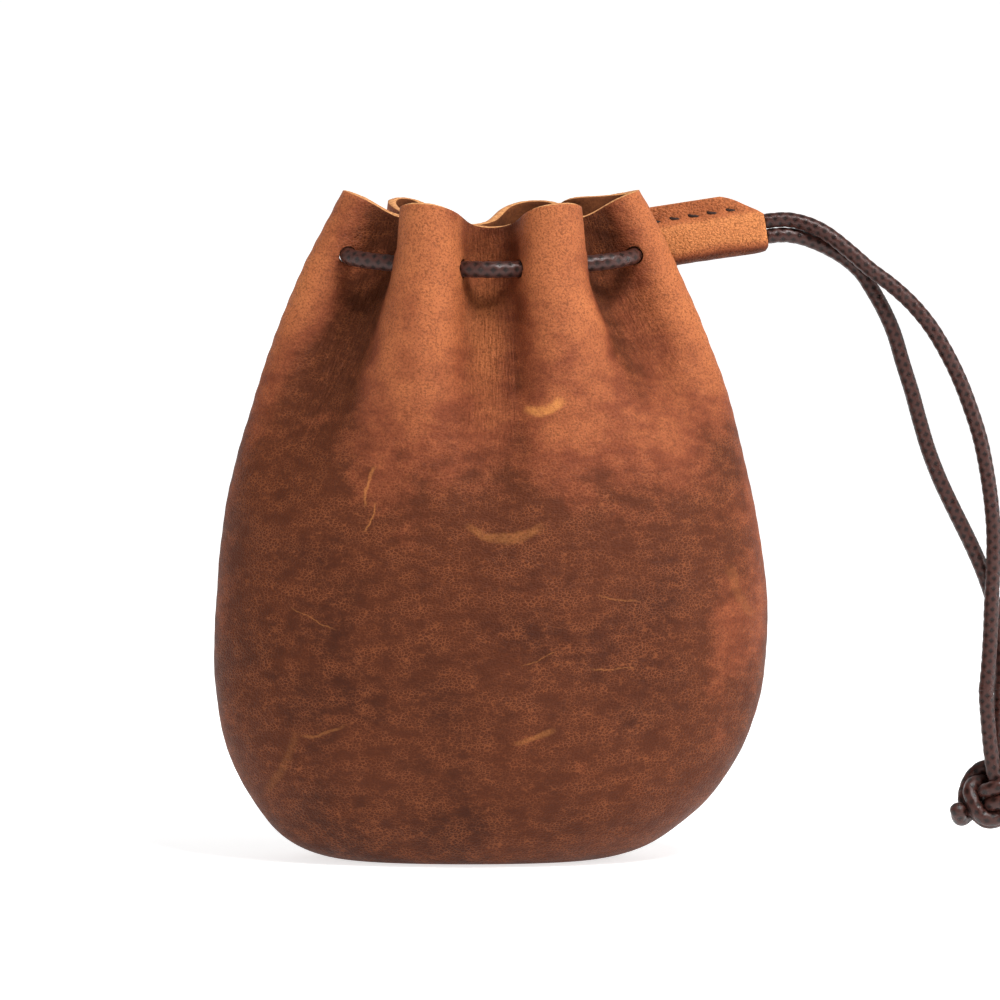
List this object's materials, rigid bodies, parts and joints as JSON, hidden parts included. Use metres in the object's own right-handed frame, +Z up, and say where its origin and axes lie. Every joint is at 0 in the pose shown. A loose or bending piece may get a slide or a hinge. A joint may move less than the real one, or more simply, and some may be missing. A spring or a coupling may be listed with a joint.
{
  "type": "drawstring dice bag",
  "caption": "Leather drawstring pouch: two sewn panels, a gathered laced mouth, a sliding leather keeper and knotted cord tails.",
  "frame": {"origin": "middle of the bag between its side seams, on the plane of its flat base", "axes": "+Z up from the base to the mouth, X from side seam to side seam with the sleeve and tails towards +X, front towards -Y"},
  "size_m": [0.1449, 0.056, 0.1207],
  "materials": {
    "leather": "waxed pull-up leather, semi-matt, with a pebbled grain and pale scuffs",
    "sleeve_leather": "thin waxed leather, semi-matt, paler along the fold",
    "waxed_cord": "round braided cord with a waxed sheen",
    "thread": "waxed thread, satin"
  },
  "bodies": {
    "bag": {"front_panel": "leather", "back_panel": "leather", "seam_thread": "thread", "laced_cord": "waxed_cord", "outer_tail": "waxed_cord", "inner_tail": "waxed_cord", "end_knot": "waxed_cord"},
    "sleeve": {"cord_sleeve": "sleeve_leather", "sleeve_thread": "thread"}
  },
  "joints": [
    {"name": "sleeve_slide", "type": "slide", "parent": "bag", "child": "sleeve", "axis": [0.9885, 0, 0.1513], "range_m": [0, 0.003]}
  ]
}
